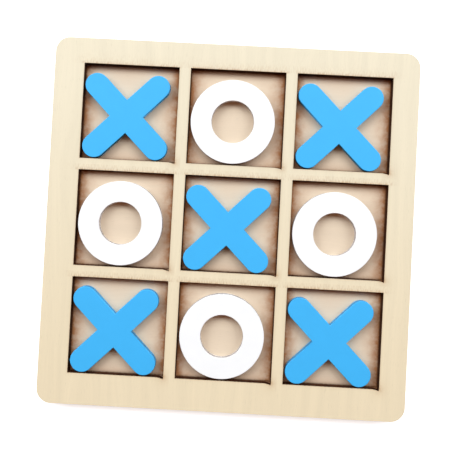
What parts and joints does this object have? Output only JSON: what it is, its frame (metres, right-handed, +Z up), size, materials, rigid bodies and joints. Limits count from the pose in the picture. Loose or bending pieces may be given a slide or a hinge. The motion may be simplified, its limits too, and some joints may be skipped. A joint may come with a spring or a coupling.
{
  "type": "tic tac toe set",
  "caption": "Flat square plywood game board with a grid of square wells, each holding a loose flat blue cross or white ring that lifts out.",
  "frame": {"origin": "middle of the board's outline, on the underside that the set stands on", "axes": "+X to the player's right, +Y away from the player, +Z up, the way the pieces lift out"},
  "size_m": [0.1508, 0.151, 0.0061],
  "materials": {
    "plywood": "fine sanded pale plywood with no varnish, its cut edges burnt dark brown by the laser",
    "dried_glue": "dried wood glue",
    "blue_paint": "matt sky blue acrylic paint on plywood",
    "white_paint": "matt white acrylic paint on plywood"
  },
  "bodies": {
    "board": {"base_board": "plywood", "glue_film": "dried_glue", "grid_board": "plywood"},
    "x_piece_1": {"x_piece_1": "blue_paint"},
    "o_piece_1": {"o_piece_1": "white_paint"},
    "x_piece_2": {"x_piece_2": "blue_paint"},
    "o_piece_2": {"o_piece_2": "white_paint"},
    "x_piece_3": {"x_piece_3": "blue_paint"},
    "o_piece_3": {"o_piece_3": "white_paint"},
    "x_piece_4": {"x_piece_4": "blue_paint"},
    "o_piece_4": {"o_piece_4": "white_paint"},
    "x_piece_5": {"x_piece_5": "blue_paint"}
  },
  "joints": [
    {"name": "x_piece_1_lift", "type": "slide", "parent": "board", "child": "x_piece_1", "axis": [0, 0, 1], "range_m": [0, 0.03]},
    {"name": "o_piece_1_lift", "type": "slide", "parent": "board", "child": "o_piece_1", "axis": [0, 0, 1], "range_m": [0, 0.03]},
    {"name": "x_piece_2_lift", "type": "slide", "parent": "board", "child": "x_piece_2", "axis": [0, 0, 1], "range_m": [0, 0.03]},
    {"name": "o_piece_2_lift", "type": "slide", "parent": "board", "child": "o_piece_2", "axis": [0, 0, 1], "range_m": [0, 0.03]},
    {"name": "x_piece_3_lift", "type": "slide", "parent": "board", "child": "x_piece_3", "axis": [0, 0, 1], "range_m": [0, 0.03]},
    {"name": "o_piece_3_lift", "type": "slide", "parent": "board", "child": "o_piece_3", "axis": [0, 0, 1], "range_m": [0, 0.03]},
    {"name": "x_piece_4_lift", "type": "slide", "parent": "board", "child": "x_piece_4", "axis": [0, 0, 1], "range_m": [0, 0.03]},
    {"name": "o_piece_4_lift", "type": "slide", "parent": "board", "child": "o_piece_4", "axis": [0, 0, 1], "range_m": [0, 0.03]},
    {"name": "x_piece_5_lift", "type": "slide", "parent": "board", "child": "x_piece_5", "axis": [0, 0, 1], "range_m": [0, 0.03]}
  ]
}
